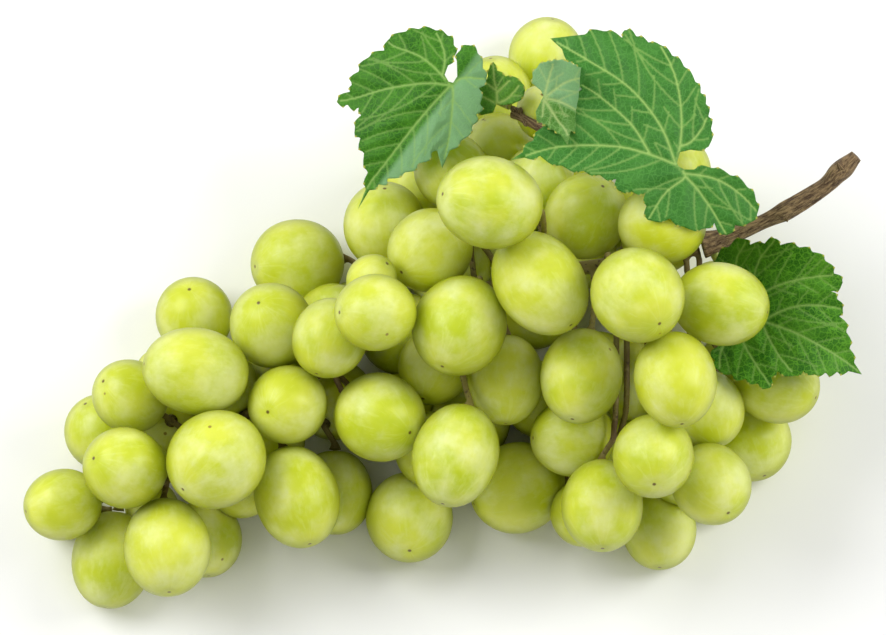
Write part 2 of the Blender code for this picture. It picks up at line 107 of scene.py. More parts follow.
class Berry:
    """Centre, axis towards the blossom end, half width and half length, in metres."""

    def __init__(self, centre, axis, width, length):
        self.centre = Vector(centre)
        self.axis = Vector(axis).normalized()
        self.width = width
        self.length = length

    def reach(self, direction):
        along = self.axis.dot(direction)
        return math.sqrt((self.length * along) ** 2 + self.width**2 * (1 - along * along))

    def overlap(self, other):
        between = self.centre - other.centre
        direction = between.normalized()
        return self.reach(direction) + other.reach(direction) + GAP * MM - between.length

    def holds(self, point, margin):
        """True if a point is inside, or closer to the skin than the margin."""
        between = Vector(point) - self.centre
        return between.length < self.reach(between.normalized()) + margin


def node_points(name):
    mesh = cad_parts[name].data
    points = np.zeros(len(mesh.vertices) * 3)
    mesh.vertices.foreach_get("co", points)
    return np.unique(np.round(points.reshape(-1, 3), 7), axis=0)


def read_berry(name):
    """Finds a CAD berry's axis from its rings of corners: the stem end is the flat one."""
    points = node_points(name)
    middle = points.mean(axis=0)
    spread = np.cov((points - middle).T)
    values, vectors = np.linalg.eigh(spread)
    axis = vectors[:, np.argmax(values)]
    along = (points - middle) @ axis
    near_high = np.sum(along > along.max() - 0.4 * MM)
    near_low = np.sum(along < along.min() + 0.4 * MM)
    if near_high > near_low:
        axis = -axis
        along = -along
    across = np.linalg.norm((points - middle) - np.outer(along, axis), axis=1)
    width = across.max()
    flat_share = math.cos(math.asin(STEM_END_RADIUS * MM / width))
    length = (along.max() - along.min()) / (1 + flat_share)
    centre = middle + axis * (along.max() - length)
    return Berry(centre, axis, float(width), float(length))


berries = {name: read_berry(name) for name in sorted(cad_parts) if name.startswith("berry_")}

# --------------------------------------------------------------------------- places on the board

anchor = berries[ANCHOR_BERRY].centre / MM
BOARD_ZERO = Vector((
    anchor.x - ANCHOR_PLACE[0],
    anchor.y - (ANCHOR_PLACE[1] - anchor.z * math.sin(BOARD_SLOPE)) / math.cos(BOARD_SLOPE),
    0,
))


def to_board(point):
    """(across, up, out) in millimetres of a world point in metres."""
    moved = Vector(point) / MM - BOARD_ZERO
    return np.array((moved.dot(ACROSS), moved.dot(UP), moved.dot(OUT)))


def from_board(across, up, out):
    """World point in metres."""
    return (ACROSS * across + UP * up + OUT * out + BOARD_ZERO) * MM


# --------------------------------------------------------------------------- berries that fill the gaps


def surface_samples(names, step):
    """Points spread over the faces of CAD nodes, close enough together to keep a berry off them."""
    points = []
    for name in names:
        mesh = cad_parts[name].data
        for face in mesh.polygons:
            a, b, c = (mesh.vertices[i].co for i in face.vertices)
            count = 1 + int(max((b - a).length, (c - a).length, (c - b).length) / step)
            for i in range(count + 1):
                for k in range(count + 1 - i):
                    points.append(a + (b - a) * (i / count) + (c - a) * (k / count))
    return points


def build_tree(points):
    tree = KDTree(len(points))
    for index, point in enumerate(points):
        tree.insert(point, index)
    tree.balance()
    return tree


LEAF_NAMES = ["leaf_left", "leaf_top", "leaf_right", "leaflet_1", "leaflet_2"]
stem_tree = build_tree(surface_samples(["bunch_stem"], 1.5 * MM))
fixed_tree = build_tree(surface_samples(["bunch_stem", "cane", "leaf_twig", *LEAF_NAMES], 1.5 * MM))


def is_clear(berry, others):
    close = [other for other in others if (berry.centre - other.centre).length < NEIGHBOURHOOD * MM]
    if any(berry.overlap(other) > BERRY_PRESS * MM for other in close):
        return False
    nearby = fixed_tree.find_range(berry.centre, berry.length + MM)
    return not any(berry.holds(point, -STEM_PRESS * MM) for point, _, _ in nearby)


def face_from_stem(centre, width, length):
    """A berry whose stem end faces the nearest stem."""
    nearest, _, _ = stem_tree.find(centre)
    return Berry(centre, centre - nearest, width, length)


def sink(across, up, width, length, others):
    """A berry behind all those that it overlaps in the view, as near to the front as it fits, or None."""
    hiding = [40.0]
    for other in others:
        place = to_board(other.centre)
        flat = math.hypot(place[0] - across, place[1] - up)
        if flat < other.width / MM + width - VIEW_OVERLAP:
            hiding.append(place[2] - 1.0)
    for out in np.arange(min(hiding), -30, -0.8):
        berry = face_from_stem(from_board(across, up, out), width * MM, length * MM)
        if berry.centre.z < TABLE_SHARE * berry.width:
            return None
        if is_clear(berry, others):
            return berry
    return None


def sink_sliver(across, up, width, length, others):
    """A berry that shows between its neighbours, as large as there is room for, or None."""
    for size in (1.0, 0.93, 0.86, 0.8, 0.72):
        berry = sink(across, up, width * size, length * size, others)
        if berry:
            return berry
    return None


def is_hidden(across, up, width, places, widths):
    """True if a disc lies behind the berries that show, or closes a gap between three of them."""
    for turn in np.arange(0, 2 * math.pi, 0.5):
        x = across + 0.9 * width * math.cos(turn)
        y = up + 0.9 * width * math.sin(turn)
        outside = np.hypot(places[:, 0] - x, places[:, 1] - y) - widths
        if outside.min() > 0 and np.sum(outside < 5.5) < 3:
            return False
    return True


def fill_inside(others):
    """Berries in the room that is left under the ones that show, none of which shows past them."""
    added = []
    others = list(others)
    places = np.array([to_board(other.centre) for other in others])
    widths = np.array([other.width / MM for other in others])
    for width, length in ((9.4, 10.4), (8.4, 9.0), (7.4, 7.8), (6.4, 6.8)):
        for up in np.arange(8, 130, 2.0):
            for across in np.arange(-90, 90, 2.0):
                if is_hidden(across, up, width, places, widths):
                    berry = sink(across, up, width, length, others)
                    if berry:
                        added.append(berry)
                        others.append(berry)
    return added


everything = list(berries.values())
slivers = []
for across, up, width, length in SLIVERS:
    sliver = sink_sliver(across, up, width, length, everything)
    if sliver:
        slivers.append(sliver)
        everything.append(sliver)
inner = fill_inside(everything)


# --------------------------------------------------------------------------- materials and pieces


def new_material(name):
    material = bpy.data.materials.new(name)
    material.use_nodes = True
    return material, material.node_tree, material.node_tree.nodes["Principled BSDF"]


def add_node(tree, kind, settings=None, **inputs):
    """Adds a node, sets its properties, and fills its inputs with values or other nodes' outputs."""
    made = tree.nodes.new("ShaderNode" + kind)
    for key, value in (settings or {}).items():
        setattr(made, key, value)
    for key, value in inputs.items():
        socket = made.inputs[int(key[1:])] if key[0] == "i" and key[1:].isdigit() else made.inputs[key]
        if isinstance(value, bpy.types.NodeSocket):
            tree.links.new(value, socket)
        else:
            socket.default_value = value
    return made


def math_node(tree, operation, a, b=0.0):
    return add_node(tree, "Math", {"operation": operation}, i0=a, i1=b).outputs[0]


def mix_colour(tree, share, first, second):
    made = tree.nodes.new("ShaderNodeMix")
    made.data_type = "RGBA"
    for socket, value in ((made.inputs[0], share), (made.inputs[6], first), (made.inputs[7], second)):
        if isinstance(value, bpy.types.NodeSocket):
            tree.links.new(value, socket)
        else:
            socket.default_value = value if isinstance(value, float) else (*value, 1.0)
    return made.outputs[2]


def ramp(tree, value, low, high):
    """0 below low, 1 above high, smooth between."""
    return add_node(
        tree, "MapRange", {"interpolation_type": "SMOOTHSTEP"}, i0=value, i1=low, i2=high
    ).outputs[0]


def noise(tree, place, scale, detail=2.0, roughness=0.5):
    return add_node(
        tree, "TexNoise", Vector=place, Scale=scale, Detail=detail, Roughness=roughness
    ).outputs[0]


def set_surface(tree, shader, tint, strength, distance, height):
    """Links a colour to a shader, and a bump whose distance is in millimetres."""
    tree.links.new(tint, shader.inputs["Base Color"])
    bump = add_node(tree, "Bump", Strength=strength, Distance=distance * MM, Height=height)
    tree.links.new(bump.outputs[0], shader.inputs["Normal"])


def place_piece(name, mesh, node=None, place=Matrix()):
    """Links a mesh to the scene as a piece of the bunch, instead of a CAD node if one is named."""
    thing = bpy.data.objects.new(name, mesh)
    bpy.context.scene.collection.objects.link(thing)
    thing.matrix_world = place
    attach(thing, "root")
    if node:
        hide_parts(node)


# --------------------------------------------------------------------------- berries


def berry_material():
    """Translucent skin over watery flesh: pale veins from end to end, a patchy waxy bloom that is also a
    painted sheen where the skin faces the camera, specks, and painted shade at the rims.
    """
    material, tree, shader = new_material("berry_skin")
    place = add_node(tree, "TexCoord").outputs["Object"]
    own = add_node(tree, "ObjectInfo").outputs["Random"]
    moved = add_node(tree, "VectorMath", {"operation": "ADD"}, i0=place, i1=own).outputs[0]
    parts = add_node(tree, "SeparateXYZ", i0=place).outputs
    around = math_node(tree, "ARCTAN2", parts[1], parts[0])
    turned = add_node(
        tree,
        "CombineXYZ",
        X=math_node(tree, "SINE", around),
        Y=math_node(tree, "COSINE", around),
        Z=math_node(tree, "MULTIPLY", parts[2], 40.0),
    ).outputs[0]
    turned = add_node(tree, "VectorMath", {"operation": "ADD"}, i0=turned, i1=own).outputs[0]
    veins = ramp(tree, noise(tree, turned, 7.0, 3.0, 0.55), 0.52, 0.66)
    cloud = noise(tree, moved, 90.0, 3.0)
    tint = mix_colour(tree, own, (0.60, 0.65, 0.04), (0.52, 0.61, 0.035))
    tint = mix_colour(tree, ramp(tree, cloud, 0.35, 0.7), tint, (0.68, 0.72, 0.10))
    tint = mix_colour(tree, math_node(tree, "MULTIPLY", veins, 0.25), tint, (0.72, 0.78, 0.24))
    # Painted shade: towards the rims, where the skin turns away from the camera, it is mixed to a dark
    # saturated green.
    facing = add_node(tree, "LayerWeight", Blend=0.45).outputs["Facing"]
    rim = math_node(tree, "MULTIPLY", ramp(tree, facing, 0.2, 0.9), 0.9)
    tint = mix_colour(tree, rim, tint, (0.29, 0.33, 0.001))
    # Waxy bloom patches, kept off the painted rim shade so that they are palest where the skin faces the
    # camera: partly real bloom, partly a painted sheen.
    bloom_and_sheen = noise(tree, moved, 110.0, 5.0, 0.6)
    bloom_and_sheen = math_node(tree, "MULTIPLY", ramp(tree, bloom_and_sheen, 0.38, 0.72), 0.5)
    bloom_and_sheen = math_node(tree, "MULTIPLY", bloom_and_sheen, math_node(tree, "SUBTRACT", 1.0, rim))
    tint = mix_colour(tree, bloom_and_sheen, tint, (0.80, 0.83, 0.54))
    cells = add_node(tree, "TexVoronoi", Vector=moved, Scale=230.0)
    dot = ramp(tree, cells.outputs["Distance"], 0.13, 0.07)
    chosen = add_node(tree, "SeparateColor", i0=cells.outputs["Color"]).outputs[0]
    specks = math_node(tree, "MULTIPLY", dot, ramp(tree, chosen, 0.955, 0.965))
    tint = mix_colour(tree, math_node(tree, "MULTIPLY", specks, 0.8), tint, (0.24, 0.16, 0.04))
    flat_x = math_node(tree, "MULTIPLY", parts[0], parts[0])
    flat_y = math_node(tree, "MULTIPLY", parts[1], parts[1])
    off_axis = math_node(tree, "SQRT", math_node(tree, "ADD", flat_x, flat_y))
    ahead = ramp(tree, parts[2], 0.0, 0.001)
    scar = math_node(tree, "MULTIPLY", ramp(tree, off_axis, 0.0006, 0.00025), ahead)
    tint = mix_colour(tree, scar, tint, (0.16, 0.12, 0.03))
    shader.inputs["Subsurface Weight"].default_value = 1.0
    shader.inputs["Subsurface Radius"].default_value = (1.0, 1.0, 0.28)
    shader.inputs["Subsurface Scale"].default_value = 0.0045
    shader.inputs["Subsurface Anisotropy"].default_value = 0.6
    shader.inputs["Coat Weight"].default_value = 0.16
    shader.inputs["Coat Roughness"].default_value = 0.24
    shader.inputs["IOR"].default_value = 1.38
    rough = add_node(tree, "MapRange", i0=bloom_and_sheen, i1=0.0, i2=0.4, i3=0.4, i4=0.58).outputs[0]
    tree.links.new(rough, shader.inputs["Roughness"])
    set_surface(tree, shader, tint, 0.12, 0.2, noise(tree, moved, 900.0, 3.0))
    return material


def berry_mesh(name, berry, seed):
    """Ovoid with a dimple at the stem end, a small scar at the blossom end and slight lumps."""
    draw = random.Random(seed)
    lumps = [
        (draw.uniform(0.003, 0.009), draw.randint(1, 3), draw.randint(1, 3), draw.uniform(0, 6.3))
        for _ in range(4)
    ]
    belly = draw.uniform(-0.03, 0.03)
    rows = []
    for i in range(1, RINGS):
        share = i / RINGS
        polar = math.pi * (share - 0.085 * math.sin(2 * math.pi * share))
        row = []
        for k in range(SIDES):
            turn = 2 * math.pi * k / SIDES
            swell = 1.0 + belly * math.cos(polar)
            for size, waves, bands, phase in lumps:
                swell += size * math.cos(waves * turn + phase) * math.sin(polar) * math.cos(bands * polar)
            off = berry.width * math.sin(polar) * swell
            height = berry.length * math.cos(polar) * (1.0 + 0.3 * (swell - 1.0))
            row.append((off * math.cos(turn), off * math.sin(turn), height + end_shape(off, polar)))
        rows.append(row)
    bm = bmesh.new()
    tip = bm.verts.new((0, 0, berry.length + end_shape(0.0, 0.0)))
    foot = bm.verts.new((0, 0, -berry.length + end_shape(0.0, math.pi)))
    rings = [[bm.verts.new(point) for point in row] for row in rows]
    for k in range(SIDES):
        after = (k + 1) % SIDES
        bm.faces.new((tip, rings[0][k], rings[0][after]))
        bm.faces.new((foot, rings[-1][after], rings[-1][k]))
        for high, low in zip(rings, rings[1:]):
            bm.faces.new((high[k], low[k], low[after], high[after]))
    mesh = bpy.data.meshes.new(name)
    bm.to_mesh(mesh)
    bm.free()
    mesh.shade_smooth()
    return mesh


def end_shape(off, polar):
    """How far the skin is drawn in at the stem end and puckered round the scar."""
    if polar < math.pi / 2:
        pucker = -0.3 * math.exp(-((off / (1.5 * MM)) ** 2))
        return (pucker + 0.22 * math.exp(-((off / (0.5 * MM)) ** 2))) * MM
    return 0.9 * math.exp(-((off / (2.4 * MM)) ** 2)) * MM


def press_on_table(mesh, place):
    """Flattens what would go through the table."""
    inverse = place.inverted()
    for vertex in mesh.vertices:
        world = place @ vertex.co
        if world.z < TABLE_TOP * MM:
            world.z = TABLE_TOP * MM
            vertex.co = inverse @ world


skin = berry_material()


def make_berry(name, berry, seed, node=None):
    mesh = berry_mesh(name, berry, seed)
    turn = Vector((0, 0, 1)).rotation_difference(berry.axis)
    place = Matrix.Translation(berry.centre) @ turn.to_matrix().to_4x4()
    press_on_table(mesh, place)
    mesh.materials.append(skin)
    place_piece(name, mesh, node, place)


for number, (name, berry) in enumerate(berries.items()):
    make_berry("grape" + name[5:], berry, number, name)
for number, berry in enumerate(slivers):
    make_berry(f"grape_between_{number + 1:02d}", berry, 100 + number)
for number, berry in enumerate(inner):
    make_berry(f"grape_inner_{number + 1:02d}", berry, 200 + number)


# --------------------------------------------------------------------------- leaves

LEAF_THICKNESS = 0.35
LEAF_GRID = 0.45
VEIN_STEP = 0.5
SIDE_VEIN_STEP = 5.2
SIDE_VEIN_ANGLE = math.radians(47)
SIDE_VEIN_BEND = math.radians(1.6)

# Each leaf on the board, in millimetres: its edge from the notch at the stalk round to the other side
# of the notch, its main veins from the base outwards, and where its stalk starts at the wood. "teeth"
# is the spacing and the depth of the teeth, "pucker" is how high the blade swells between its veins,
# and one vein is named beside which one half of the blade is painted paler and bluer, a painted
# sheen. Tones: dark, mid, vein.
LEAVES = {
    "leaf_left": {
        "edge": [
            (1.3, 126.2), (0.4, 127.8), (1.2, 130), (2.6, 132), (2.6, 135), (1, 137.3), (-1.7, 138.5),
            (-5.9, 138.8), (-9, 138.2), (-13.2, 136.2), (-14.1, 133.7), (-17.8, 132.1), (-20.2, 128.7),
            (-21.9, 125.5), (-22.3, 123.9), (-25.5, 121.5), (-20.2, 120), (-19.6, 118.2), (-21.1, 115.1),
            (-19.8, 112.7), (-18.9, 109.1), (-18, 104.5), (-18.5, 100.5), (-20.4, 95.7), (-17.6, 100.3),
            (-13.2, 103), (-9, 104.5), (-5.9, 106.6), (-2.6, 109.4), (-1.4, 109.7), (-0.2, 105.4),
            (1.6, 109.7), (4.4, 112.1), (7.1, 115.7), (8.9, 120.9), (8.6, 124.6), (10.4, 126.7),
            (9.5, 129.4), (8.3, 133), (6.2, 134.9), (4.1, 133.7), (3.3, 131), (3.4, 127.4), (2.4, 125.9),
        ],
        "veins": [
            [(1.8, 125.3), (-2.6, 120.6), (-7.5, 114.8), (-14.8, 105.4), (-17.8, 101.5), (-20.4, 95.7)],
            [(1.8, 125.3), (-3.5, 125.8), (-9.6, 125.2), (-15.1, 124.1), (-20.8, 122.4), (-25.5, 121.5)],
            [(1.8, 125.3), (-0.5, 127.9), (-2.9, 130.3), (-6.2, 132.6), (-11.7, 134.7), (-13.1, 135.9)],
            [(-0.2, 127.6), (0.4, 130.9), (0.1, 134), (-1.7, 138.2)],
            [(2.2, 125.3), (2.4, 122.7), (1.9, 116.7), (1.3, 112.1), (-0.2, 105.4)],
            [(2.2, 125.3), (3.8, 126.7), (5.6, 127.1), (8, 127), (10.2, 126.7)],
        ],
        "teeth": (3.4, 1.1),
        "pucker": 1.1,
        "stalk_start": (16, 120.5),
        "painted_sheen_side": 0,
        "tones": ((0.018, 0.125, 0.003), (0.085, 0.30, 0.018), (0.33, 0.55, 0.13)),
    },
    "leaf_top": {
        "edge": [
            (55.5, 106.5), (56.2, 109), (58.7, 109.6), (63, 110.3), (63.6, 114.7), (62.4, 120.5),
            (59.9, 125.8), (57.2, 129.5), (51.7, 134.6), (48.8, 135.2), (43.1, 138.1), (42.6, 136.3),
            (38.2, 137.9), (33.7, 137.1), (25.5, 136.2), (28.3, 133.6), (31.2, 130.1), (33, 124),
            (30, 118), (26.5, 116), (23.4, 114.8), (21.4, 111.8), (18.9, 109), (16, 107.1), (19.3, 107.7),
            (23, 108.1), (28.3, 105.7), (33.3, 104.5), (41, 102.6), (41.5, 99.9), (48, 99.3), (48.4, 93),
            (53.8, 93.2), (57, 91.3), (62, 90.9), (64.4, 92.2), (67.3, 89.3), (69.3, 91.7), (72.6, 92.2),
            (74.7, 94.6), (74.3, 97.5), (72.2, 100.8), (68.1, 103.6), (63.6, 105.3), (59.5, 104.9),
            (57.2, 104.9), (55.8, 105.7),
        ],
        "veins": [
            [(55.2, 106.1), (49.2, 108.4), (42.3, 110.2), (34.1, 110.6), (25.9, 110), (16.4, 107.1)],
            [(55.2, 106.1), (52.1, 114.3), (47.2, 121.3), (41.9, 126.2), (34.1, 131.1), (25.5, 136.2)],
            [(55.2, 106.1), (56.2, 110.6), (56.6, 116.3), (56, 123.3), (54.4, 129.1), (51.7, 134.4)],
            [(56.2, 110.4), (58.7, 111.4), (61.5, 114.7), (62.8, 118)],
            [(49.2, 108.4), (44.7, 115.5), (37.4, 122.1), (33, 125)],
            [(55.4, 105.9), (57.4, 103.2), (52.9, 99.5), (48.8, 93.4)],
            [(57, 104), (62.8, 103.2), (66.9, 101.6), (71, 98.7), (74.5, 95)],
            [(57.4, 103.4), (60.5, 100), (64, 95), (67.3, 89.5)],
        ],
        "teeth": (3.9, 0.9),
        "pucker": 1.0,
        "stalk_start": (60, 94),
        "painted_sheen_side": None,
        "tones": ((0.032, 0.175, 0.018), (0.085, 0.30, 0.045), (0.40, 0.62, 0.16)),
    },
    "leaf_right": {
        "edge": [
            (75.8, 69.6), (70, 72), (65, 74.6), (65.5, 83.7), (68.6, 86.8), (72, 88.6), (73.4, 87.2),
            (76.8, 87.5), (79.5, 88.6), (80.4, 87.1), (84.9, 86.5), (88, 85.4), (91.1, 83.2),
            (93.1, 80.3), (95.2, 78.2), (92.5, 76), (93.9, 74.2), (95.3, 71.6), (94.5, 70.1), (96.2, 66.3),
            (97, 62.4), (98.1, 59), (100, 56.2), (96.7, 57), (91.1, 56.6), (88.6, 56.2), (85.8, 57),
            (84.1, 55.9), (79.6, 57), (78.2, 55.6), (77.9, 53), (72, 55.1), (65.6, 57.3), (64.2, 62),
            (70, 65.5), (75.8, 68.2),
        ],
        "veins": [
            [(76.5, 68.9), (83.5, 66.4), (89.7, 63.2), (95.3, 59.8), (100, 56.3)],
            [(76.5, 68.9), (79.6, 70.8), (83.3, 72.2), (88.3, 72.8), (95, 71.9)],
            [(74.5, 70.4), (76.2, 75.3), (83.2, 78.5), (93.4, 79.9), (95, 78.4)],
            [(74, 71), (74.3, 78.9), (75.7, 83.7), (79.3, 88.5)],
            [(72, 72), (70.1, 82.3), (72.3, 87.9)],
            [(76.2, 68.7), (77.5, 65.5), (79.9, 61), (83, 57)],
            [(71.6, 66.4), (71.7, 64), (73.4, 60.7), (77.9, 53.5)],
            [(69, 65.2), (66.5, 62), (66, 57.8)],
        ],
        "teeth": (3.2, 1.0),
        "pucker": 0.9,
        "stalk_start": (65, 85),
        "painted_sheen_side": None,
        "tones": ((0.014, 0.125, 0.002), (0.13, 0.39, 0.022), (0.33, 0.55, 0.13)),
    },
    "leaflet_1": {
        "edge": [
            (12.8, 120.9), (12, 118.8), (10.1, 118.4), (8.2, 118.7), (8.9, 120.7), (8.4, 123.4),
            (8.9, 125.8), (10.5, 126.8), (10.8, 127.7), (11.1, 129.4), (12, 131), (13, 128.9),
            (15, 127.5), (16.7, 127.5), (18.8, 126), (19.6, 124.1), (18.5, 121.7), (16.7, 120.9),
            (14, 120.5),
        ],
        "veins": [
            [(13, 120.9), (12.8, 124.1), (12.3, 126.5), (12, 130.6)],
            [(13, 120.9), (9.6, 122.6), (8.6, 123.2)],
            [(12.4, 124.4), (9.9, 126.3)],
            [(13.1, 121), (15.7, 122.4), (18.1, 125.2)],
            [(12.9, 123.6), (15.9, 126.5)],
        ],
        "teeth": (2.2, 0.5),
        "pucker": 0.5,
        "stalk_start": (15.5, 120.5),
        "painted_sheen_side": None,
        "tones": ((0.04, 0.17, 0.008), (0.13, 0.35, 0.03), (0.42, 0.58, 0.14)),
    },
    "leaflet_2": {
        "edge": [
            (23.8, 122.3), (23.2, 123.6), (21.8, 124.8), (21.3, 126.8), (22.2, 128.9), (24.4, 130.2),
            (27.1, 130.6), (29.5, 130.2), (32.2, 129.2), (36.3, 127.2), (35.4, 125.3), (37.1, 121.2),
            (37.8, 117.8), (40.7, 113.8), (36.8, 115.2), (32.9, 113.9), (30.3, 114), (29.5, 110.5),
            (27.8, 113.1), (24.7, 115.3), (22.2, 116.8), (22, 118.7), (23, 120.6),
        ],
        "veins": [
            [(23.9, 121.7), (28.6, 125.2), (33.2, 126.8), (35.9, 127.3)],
            [(23.9, 121.7), (27.6, 120.9), (32.5, 118.5), (36.8, 116.1), (40.5, 114)],
            [(23.9, 121.7), (24.9, 125.8), (26, 129.6)],
            [(23.9, 121.7), (26.6, 117.3), (29.3, 113.6), (29.5, 111)],
            [(23.9, 121.7), (23.6, 117.5)],
        ],
        "teeth": (1.8, 0.6),
        "pucker": 0.7,
        "stalk_start": (19, 119.5),
        "painted_sheen_side": 1,
        "tones": ((0.06, 0.21, 0.02), (0.20, 0.42, 0.10), (0.50, 0.66, 0.24)),
    },
}


def merged_mesh(name):
    """A CAD node's mesh with each corner once."""
    bm = bmesh.new()
    bm.from_mesh(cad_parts[name].data)
    bmesh.ops.remove_doubles(bm, verts=bm.verts, dist=1e-6)
    bm.normal_update()
    return bm


def find_cap(start, sides):
    """The corners of the flat cap that the start corner belongs to."""
    for first in start.link_faces:
        flat = {first}
        waiting = [first]
        while waiting:
            face = waiting.pop()
            for edge in face.edges:
                for after in edge.link_faces:
                    if after not in flat and after.normal.dot(first.normal) > 0.9999:
                        flat.add(after)
                        waiting.append(after)
        cap = {vertex for face in flat for vertex in face.verts}
        if len(cap) == sides:
            return cap
    return set()


def trace_tube(name, pick, sides):
    """Middle points and radii, in metres, of a CAD tube's rings, from the cap that pick rates highest."""
    bm = merged_mesh(name)
    ring = find_cap(max(bm.verts, key=lambda vertex: pick(vertex.co)), sides)
    seen = set(ring)
    middles, radii = [], []
    while sides <= len(ring) <= sides + 3:
        middle = sum((vertex.co for vertex in ring), Vector()) / len(ring)
        away = [(vertex.co - middle).length for vertex in ring]
        if radii and max(away) > 2.2 * radii[0]:
            break
        middles.append(middle)
        radii.append(sum(away) / len(ring))
        ring = {edge.other_vert(vertex) for vertex in ring for edge in vertex.link_edges} - seen
        seen |= ring
    bm.free()
    return middles, radii


def fit_blade(name, edge):
    """A smooth surface through a CAD leaf: gives "out" for places on the board."""
    places = np.array([to_board(point) for point in node_points(name)])
    keep = inside_outline(places[:, :2], edge, 3.0)
    middle = places[keep, :2].mean(axis=0)

    def terms(across, up):
        a, u = (across - middle[0]) / 20, (up - middle[1]) / 20
        return np.stack([np.ones_like(a), a, u, a * a, a * u, u * u], axis=-1)

    for _ in range(6):
        rows = terms(places[keep, 0], places[keep, 1])
        found = np.linalg.lstsq(rows, places[keep, 2], rcond=None)[0]
        away = np.abs(terms(places[:, 0], places[:, 1]) @ found - places[:, 2])
        keep &= away < 1.5
    return lambda across, up: terms(np.asarray(across), np.asarray(up)) @ found


def inside_outline(places, outline, margin=0.0):
    """Which places lie in a closed outline, or within the margin of it."""
    x, y = places[:, 0], places[:, 1]
    inside = np.zeros(len(places), dtype=bool)
    for (x0, y0), (x1, y1) in zip(outline, outline[1:] + outline[:1]):
        crosses = (y0 > y) != (y1 > y)
        if y1 != y0:
            inside ^= crosses & (x < (x1 - x0) * (y - y0) / (y1 - y0) + x0)
    if margin:
        inside |= line_distance(places, outline + outline[:1])[0] < margin
    return inside


def line_distance(places, line):
    """Distance from each place to a line of points, and how far along the line that is (0 to 1)."""
    best = np.full(len(places), 1e9)
    share = np.zeros(len(places))
    count = len(line) - 1
    for i, (start, end) in enumerate(zip(line, line[1:])):
        start, end = np.array(start), np.array(end)
        step = end - start
        t = np.clip(((places - start) @ step) / max(step @ step, 1e-9), 0, 1)
        away = np.linalg.norm(places - start - t[:, None] * step, axis=1)
        nearer = away < best
        best[nearer] = away[nearer]
        share[nearer] = (i + t[nearer]) / count
    return best, share


def is_pointed(edge, i):
    """True if a corner of the edge is a sharp tip or notch."""
    corner = np.array(edge[i], dtype=float)
    before = np.array(edge[i - 1]) - corner
    after = np.array(edge[(i + 1) % len(edge)]) - corner
    return before @ after > 0.62 * np.linalg.norm(before) * np.linalg.norm(after)


def toothed(edge, spacing, depth, draw):
    """The edge with teeth along it, plain next to the notch, and the tips of the teeth."""
    outline, tips = [], []
    last = len(edge) - 1
    turned = sum(a[0] * b[1] - b[0] * a[1] for a, b in zip(edge, edge[1:] + edge[:1]))
    side = 1.0 if turned > 0 else -1.0
    for i, (start, end) in enumerate(zip(edge, edge[1:] + edge[:1])):
        start, end = np.array(start, dtype=float), np.array(end, dtype=float)
        outline.append(tuple(start))
        length = np.linalg.norm(end - start)
        pointed = is_pointed(edge, i) or is_pointed(edge, (i + 1) % len(edge))
        if i < 2 or i > last - 3 or length < 1.6 or pointed:
            continue
        count = max(1, round(length / spacing))
        along = (end - start) / count
        out = side * np.array((along[1], -along[0])) / np.linalg.norm(along)
        for k in range(count):
            deep = depth * draw.uniform(0.7, 1.25) * min(1.0, length / spacing)
            low = start + along * k
            rise = low + 0.35 * along + 0.62 * deep * out
            tip = low + 0.7 * along + deep * out
            fall = low + 0.86 * along + 0.25 * deep * out
            tips.append(tuple(tip))
            outline += [tuple(rise), tuple(tip), tuple(fall)]
            if k < count - 1:
                outline.append(tuple(low + along))
    return outline, tips


def finer(line, step):
    """Evenly spaced points on a smooth curve through the points of a line."""
    line = [np.array(point, dtype=float) for point in line]
    padded = [2 * line[0] - line[1], *line, 2 * line[-1] - line[-2]]
    curve = []
    for p0, p1, p2, p3 in zip(padded, padded[1:], padded[2:], padded[3:]):
        count = max(1, round(float(np.linalg.norm(p2 - p1)) / step))
        for i in range(count):
            t = i / count
            curve.append(
                0.5 * (2 * p1 + (p2 - p0) * t + (2 * p0 - 5 * p1 + 4 * p2 - p3) * t * t
                       + (3 * p1 - p0 - 3 * p2 + p3) * t**3)
            )
    return curve + [line[-1]]


def side_veins(mains, outline):
    """Veins that branch off the main ones on both sides and bend towards the edge."""
    grown = []
    for own, main in enumerate(mains):
        others = [line for i, line in enumerate(mains) if i != own]
        spacing = max(1, round(SIDE_VEIN_STEP / VEIN_STEP))
        for start in range(spacing // 2 + 2, len(main) - 4, spacing):
            for side in (1, -1):
                heading = main[start + 1] - main[start]
                angle = math.atan2(heading[1], heading[0]) + side * SIDE_VEIN_ANGLE
                place = main[start].copy()
                path = [place]
                for _ in range(50):
                    angle -= side * SIDE_VEIN_BEND * 0.6
                    place = place + 0.6 * np.array((math.cos(angle), math.sin(angle)))
                    row = place[None, :]
                    own_gap = line_distance(row, main)[0][0]
                    nearest = min((line_distance(row, line)[0][0] for line in others), default=99)
                    if not inside_outline(row, outline)[0] or nearest < 0.75 * own_gap:
                        break
                    path.append(place)
                if len(path) > 4:
                    grown.append(path)
    return grown


